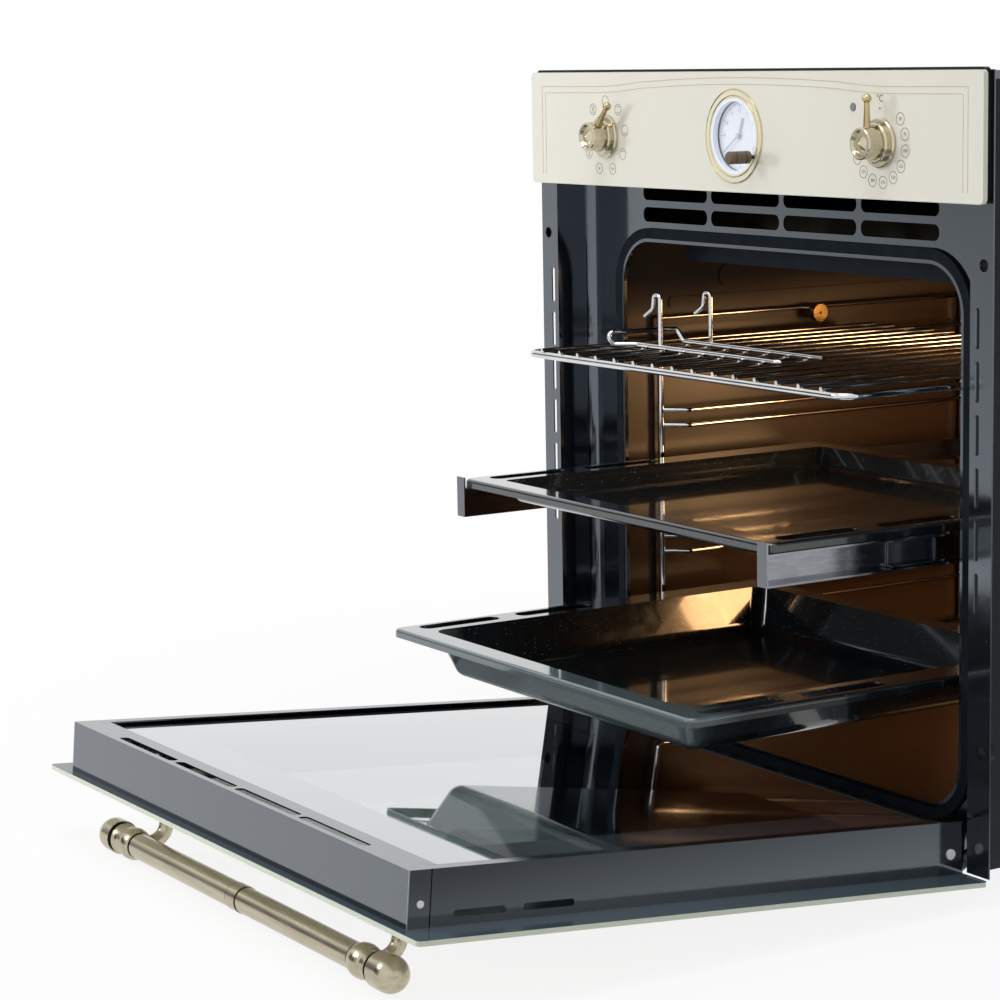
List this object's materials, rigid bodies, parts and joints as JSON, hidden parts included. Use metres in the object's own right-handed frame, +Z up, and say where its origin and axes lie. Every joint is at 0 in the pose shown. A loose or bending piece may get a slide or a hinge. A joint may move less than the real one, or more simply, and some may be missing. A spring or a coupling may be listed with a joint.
{
  "type": "built-in oven",
  "caption": "Built-in electric oven with a cream glass panel, round clock, lever knobs, a drop-down glass door with a bar handle, wire rack and enamelled trays.",
  "frame": {"origin": "foot of the front frame, in the middle of its width, on the flange's front face", "axes": "+X to the right seen from the front, +Y into the oven, +Z up"},
  "size_m": [0.595, 1.0616, 0.6133],
  "materials": {
    "cream_glass": "gloss, back-printed",
    "dark_enamel": "glossy enamel",
    "granite_enamel": "speckled glossy enamel",
    "cavity_enamel": "glossy enamel",
    "galvanised_sheet": "satin coated sheet",
    "antique_brass": "brushed antique",
    "plain_brass": "bright",
    "chrome_wire": "polished",
    "steel": "satin",
    "clear_glass": "clear",
    "printed_glass": "clear with a printed border",
    "lamp_glass": "frosted",
    "black_rubber": "matt",
    "black_plastic": "matt",
    "brown_plastic": "satin",
    "white_plastic": "matt",
    "grey_plastic": "matt",
    "mineral_wool": "matt fibre",
    "element_steel": "oxidised"
  },
  "bodies": {
    "oven": {"base_panel": "galvanised_sheet", "casing_wrap": "galvanised_sheet", "rear_panel": "galvanised_sheet", "front_frame": "dark_enamel", "cavity": "cavity_enamel", "insulation": "mineral_wool", "door_gasket": "black_rubber", "screw_bushes": "black_plastic", "grill_deflector": "cavity_enamel", "grill_element": "element_steel", "base_element": "element_steel", "ring_element": "element_steel", "fan_cover": "cavity_enamel", "lamp_holder": "white_plastic", "lamp_glass": "lamp_glass", "fan_motor": "steel", "blower_housing": "steel", "function_switch": "black_plastic", "thermostat_body": "black_plastic", "clock_movement": "white_plastic", "clock_bezel": "antique_brass", "clock_glass": "clear_glass", "indicator_lamp": "grey_plastic", "panel_glass": "cream_glass", "panel_chassis": "black_plastic", "knob_bezels": "antique_brass", "side_ladders": "chrome_wire", "ladder_nuts": "plain_brass", "runner_fixed_rails": "steel", "terminal_block": "grey_plastic", "hinge_receivers": "steel", "hinge_arms": "steel"},
    "door": {"door_outer_glass": "cream_glass", "door_middle_glass": "clear_glass", "door_inner_glass": "printed_glass", "door_top_rail": "dark_enamel", "door_side_rails": "dark_enamel", "door_bottom_rail": "dark_enamel", "door_fasteners": "steel", "hinge_housings": "steel", "handle_bar": "antique_brass", "handle_posts": "antique_brass", "handle_caps": "antique_brass", "handle_rings": "black_rubber"},
    "deep_tray_body": {"deep_tray": "granite_enamel"},
    "runner_slide_body": {"runner_slide_rails": "chrome_wire", "shallow_tray": "granite_enamel"},
    "runner_middle_body": {"runner_middle_rails": "steel"},
    "rack_body": {"wire_rack": "chrome_wire", "rack_stand": "chrome_wire"},
    "function_knob_body": {"function_knob": "antique_brass", "function_lever": "antique_brass", "function_shaft": "steel"},
    "thermostat_knob_body": {"thermostat_knob": "antique_brass", "thermostat_lever": "antique_brass", "thermostat_shaft": "steel"},
    "clock_set_knob_body": {"clock_set_knob": "brown_plastic"},
    "minute_hand_body": {"minute_hand": "black_plastic"},
    "hour_hand_body": {"hour_hand": "black_plastic"},
    "convection_fan_body": {"convection_fan": "steel"},
    "blower_impeller_body": {"blower_impeller": "grey_plastic"}
  },
  "joints": [
    {"name": "door_hinge", "type": "hinge", "parent": "oven", "child": "door", "pos_m": [0, 0.0004, 0.0045], "axis": [-1, 0, 0], "range_deg": [0, 85.11]},
    {"name": "deep_tray_slide", "type": "slide", "parent": "oven", "child": "deep_tray_body", "axis": [0, 1, 0], "range_m": [0, 0.28]},
    {"name": "runner_slide_slide", "type": "slide", "parent": "oven", "child": "runner_slide_body", "axis": [0, 1, 0], "range_m": [0, 0.185]},
    {"name": "runner_middle_slide", "type": "slide", "parent": "oven", "child": "runner_middle_body", "axis": [0, 1, 0], "range_m": [0, 0.0925]},
    {"name": "rack_slide", "type": "slide", "parent": "oven", "child": "rack_body", "axis": [0, 1, 0], "range_m": [0, 0.11]},
    {"name": "function_knob_turn", "type": "hinge", "parent": "oven", "child": "function_knob_body", "pos_m": [-0.182, -0.0092, 0.5385], "axis": [0, 1, 0], "continuous": true},
    {"name": "thermostat_knob_turn", "type": "hinge", "parent": "oven", "child": "thermostat_knob_body", "pos_m": [0.182, -0.0092, 0.5385], "axis": [0, 1, 0], "range_deg": [0, 271]},
    {"name": "clock_set_knob_turn", "type": "hinge", "parent": "oven", "child": "clock_set_knob_body", "pos_m": [0.0263, -0.0092, 0.5251], "axis": [0, 1, 0], "continuous": true},
    {"name": "minute_hand_turn", "type": "hinge", "parent": "oven", "child": "minute_hand_body", "pos_m": [0, -0.0035, 0.541], "axis": [0, 1, 0], "continuous": true},
    {"name": "hour_hand_turn", "type": "hinge", "parent": "oven", "child": "hour_hand_body", "pos_m": [0, -0.0035, 0.541], "axis": [0, 1, 0], "continuous": true},
    {"name": "convection_fan_spin", "type": "hinge", "parent": "oven", "child": "convection_fan_body", "pos_m": [0, 0.49, 0.235], "axis": [0, 1, 0], "continuous": true},
    {"name": "blower_spin", "type": "hinge", "parent": "oven", "child": "blower_impeller_body", "pos_m": [0, 0.454, 0.5228], "axis": [1, 0, 0], "continuous": true}
  ],
  "couplings": [
    {"joint": "deep_tray_slide", "follows": "door_hinge", "m_per_rad": 0.18849},
    {"joint": "runner_slide_slide", "follows": "door_hinge", "m_per_rad": 0.12454},
    {"joint": "runner_middle_slide", "follows": "door_hinge", "m_per_rad": 0.06227},
    {"joint": "rack_slide", "follows": "door_hinge", "m_per_rad": 0.074051},
    {"joint": "minute_hand_turn", "follows": "clock_set_knob_turn", "ratio": 1},
    {"joint": "hour_hand_turn", "follows": "clock_set_knob_turn", "ratio": 0.083333}
  ]
}
